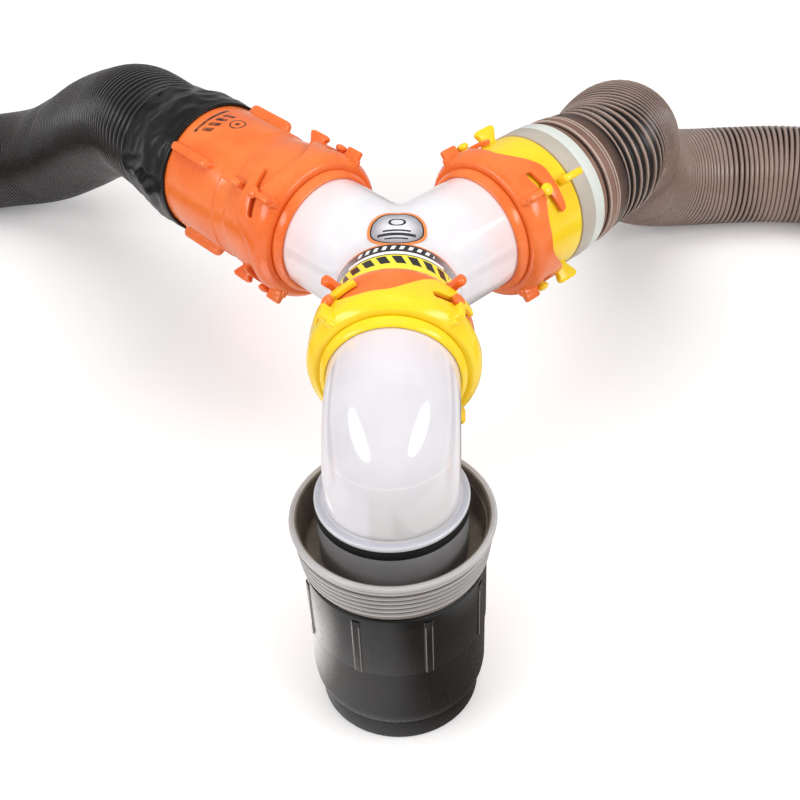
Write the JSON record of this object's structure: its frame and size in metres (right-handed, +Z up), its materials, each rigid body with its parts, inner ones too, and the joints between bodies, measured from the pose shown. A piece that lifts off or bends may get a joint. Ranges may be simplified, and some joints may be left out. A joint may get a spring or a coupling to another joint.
{
  "type": "sewer hose kit",
  "caption": "RV waste hose set: a standing inlet with a threaded adapter and swivel elbow feeds a wye, whose bayonet couplings lead to two ribbed hoses with bayonet far ends.",
  "frame": {"origin": "on the floor, at the centre of the standing inlet's bottom opening", "axes": "+Z up along the inlet, adapter and elbow stem; +Y along the wye's front leg, away from the elbow; +X to the right arm"},
  "size_m": [1.072, 0.6484, 0.2424],
  "materials": {
    "milk_plastic": "milky translucent moulding",
    "orange_plastic": "glossy moulding",
    "yellow_plastic": "glossy moulding",
    "grey_plastic": "satin moulding",
    "band_plastic": "satin moulding",
    "collar_plastic": "satin moulding",
    "black_plastic": "satin moulding",
    "seal_rubber": "moulded rubber",
    "black_rubber": "stretched rubber",
    "brown_rubber": "moulded rubber",
    "black_hose": "ribbed hose wall",
    "brown_hose": "ribbed hose wall",
    "label_film": "printed film"
  },
  "bodies": {
    "root": {"wye_body": "milk_plastic", "wye_leg": "milk_plastic", "wye_left_arm": "milk_plastic", "wye_right_arm": "milk_plastic", "wye_label": "label_film", "front_lug_fitting": "orange_plastic", "left_arm_seal": "seal_rubber", "right_arm_seal": "seal_rubber", "left_cuff": "black_rubber", "left_hose": "black_hose", "left_far_cuff": "black_rubber", "left_far_hub": "orange_plastic", "left_far_seal": "seal_rubber", "right_band": "band_plastic", "right_collar": "collar_plastic", "right_cuff": "brown_rubber", "right_hose": "brown_hose", "right_far_cuff": "brown_rubber", "right_far_hub": "yellow_plastic", "right_far_seal": "seal_rubber"},
    "elbow": {"elbow": "milk_plastic", "elbow_gasket": "seal_rubber", "elbow_seal": "seal_rubber"},
    "elbow_ring_bush": {"elbow_ring_bush": "yellow_plastic"},
    "elbow_ring": {"elbow_ring": "yellow_plastic"},
    "adapter": {"adapter_ring": "grey_plastic", "adapter_sleeve": "grey_plastic"},
    "inlet": {"inlet_fitting": "black_plastic"},
    "left_fitting": {"left_lug_fitting": "orange_plastic", "left_swivel_seal": "seal_rubber"},
    "left_ring_bush": {"left_ring_bush": "orange_plastic"},
    "left_ring": {"left_ring": "orange_plastic"},
    "right_fitting": {"right_lug_fitting": "yellow_plastic", "right_swivel_seal": "seal_rubber"},
    "right_ring_bush": {"right_ring_bush": "orange_plastic"},
    "right_ring": {"right_ring": "orange_plastic"},
    "left_far_ring_bush": {"left_far_ring_bush": "orange_plastic"},
    "left_far_ring": {"left_far_ring": "orange_plastic"},
    "right_far_ring_bush": {"right_far_ring_bush": "orange_plastic"},
    "right_far_ring": {"right_far_ring": "orange_plastic"}
  },
  "joints": [
    {"name": "elbow_swivel", "type": "hinge", "parent": "root", "child": "elbow", "pos_m": [0, 0.052, 0.192], "axis": [0, 1, 0], "continuous": true},
    {"name": "elbow_ring_draw", "type": "slide", "parent": "root", "child": "elbow_ring_bush", "axis": [0, 1, 0], "range_m": [-0.00352, 0.00238]},
    {"name": "elbow_ring_turn", "type": "hinge", "parent": "elbow_ring_bush", "child": "elbow_ring", "pos_m": [0, 0.052, 0.192], "axis": [0, 1, 0], "range_deg": [-18, 12]},
    {"name": "adapter_swivel", "type": "hinge", "parent": "elbow", "child": "adapter", "pos_m": [0, 0, 0.12], "axis": [0, 0, 1], "continuous": true},
    {"name": "inlet_pull", "type": "slide", "parent": "adapter", "child": "inlet", "axis": [0, 0, 1], "range_m": [-0.022, 0]},
    {"name": "left_coupling_swivel", "type": "hinge", "parent": "root", "child": "left_fitting", "pos_m": [0, 0.155, 0.192], "axis": [-0.7071, 0.7071, 0], "continuous": true},
    {"name": "left_ring_draw", "type": "slide", "parent": "left_fitting", "child": "left_ring_bush", "axis": [-0.7071, 0.7071, 0], "range_m": [-0.00352, 0.00238]},
    {"name": "left_ring_turn", "type": "hinge", "parent": "left_ring_bush", "child": "left_ring", "pos_m": [0, 0.155, 0.192], "axis": [-0.7071, 0.7071, 0], "range_deg": [-18, 12]},
    {"name": "right_coupling_swivel", "type": "hinge", "parent": "root", "child": "right_fitting", "pos_m": [0, 0.155, 0.192], "axis": [0.7071, 0.7071, 0], "continuous": true},
    {"name": "right_ring_draw", "type": "slide", "parent": "right_fitting", "child": "right_ring_bush", "axis": [0.7071, 0.7071, 0], "range_m": [-0.00352, 0.00238]},
    {"name": "right_ring_turn", "type": "hinge", "parent": "right_ring_bush", "child": "right_ring", "pos_m": [0, 0.155, 0.192], "axis": [0.7071, 0.7071, 0], "range_deg": [-18, 12]},
    {"name": "left_far_ring_slide", "type": "slide", "parent": "root", "child": "left_far_ring_bush", "axis": [0, -1, 0], "range_m": [-0.01, 0.002]},
    {"name": "left_far_ring_turn", "type": "hinge", "parent": "left_far_ring_bush", "child": "left_far_ring", "pos_m": [-0.526, 0.1, 0.0501], "axis": [0, -1, 0], "continuous": true},
    {"name": "right_far_ring_slide", "type": "slide", "parent": "root", "child": "right_far_ring_bush", "axis": [0, -1, 0], "range_m": [-0.01, 0.002]},
    {"name": "right_far_ring_turn", "type": "hinge", "parent": "right_far_ring_bush", "child": "right_far_ring", "pos_m": [0.446, 0.1, 0.0501], "axis": [0, -1, 0], "continuous": true}
  ],
  "couplings": [
    {"joint": "elbow_ring_draw", "follows": "elbow_ring_turn", "m_per_rad": 0.010886},
    {"joint": "left_ring_draw", "follows": "left_ring_turn", "m_per_rad": 0.010886},
    {"joint": "right_ring_draw", "follows": "right_ring_turn", "m_per_rad": 0.010886}
  ]
}
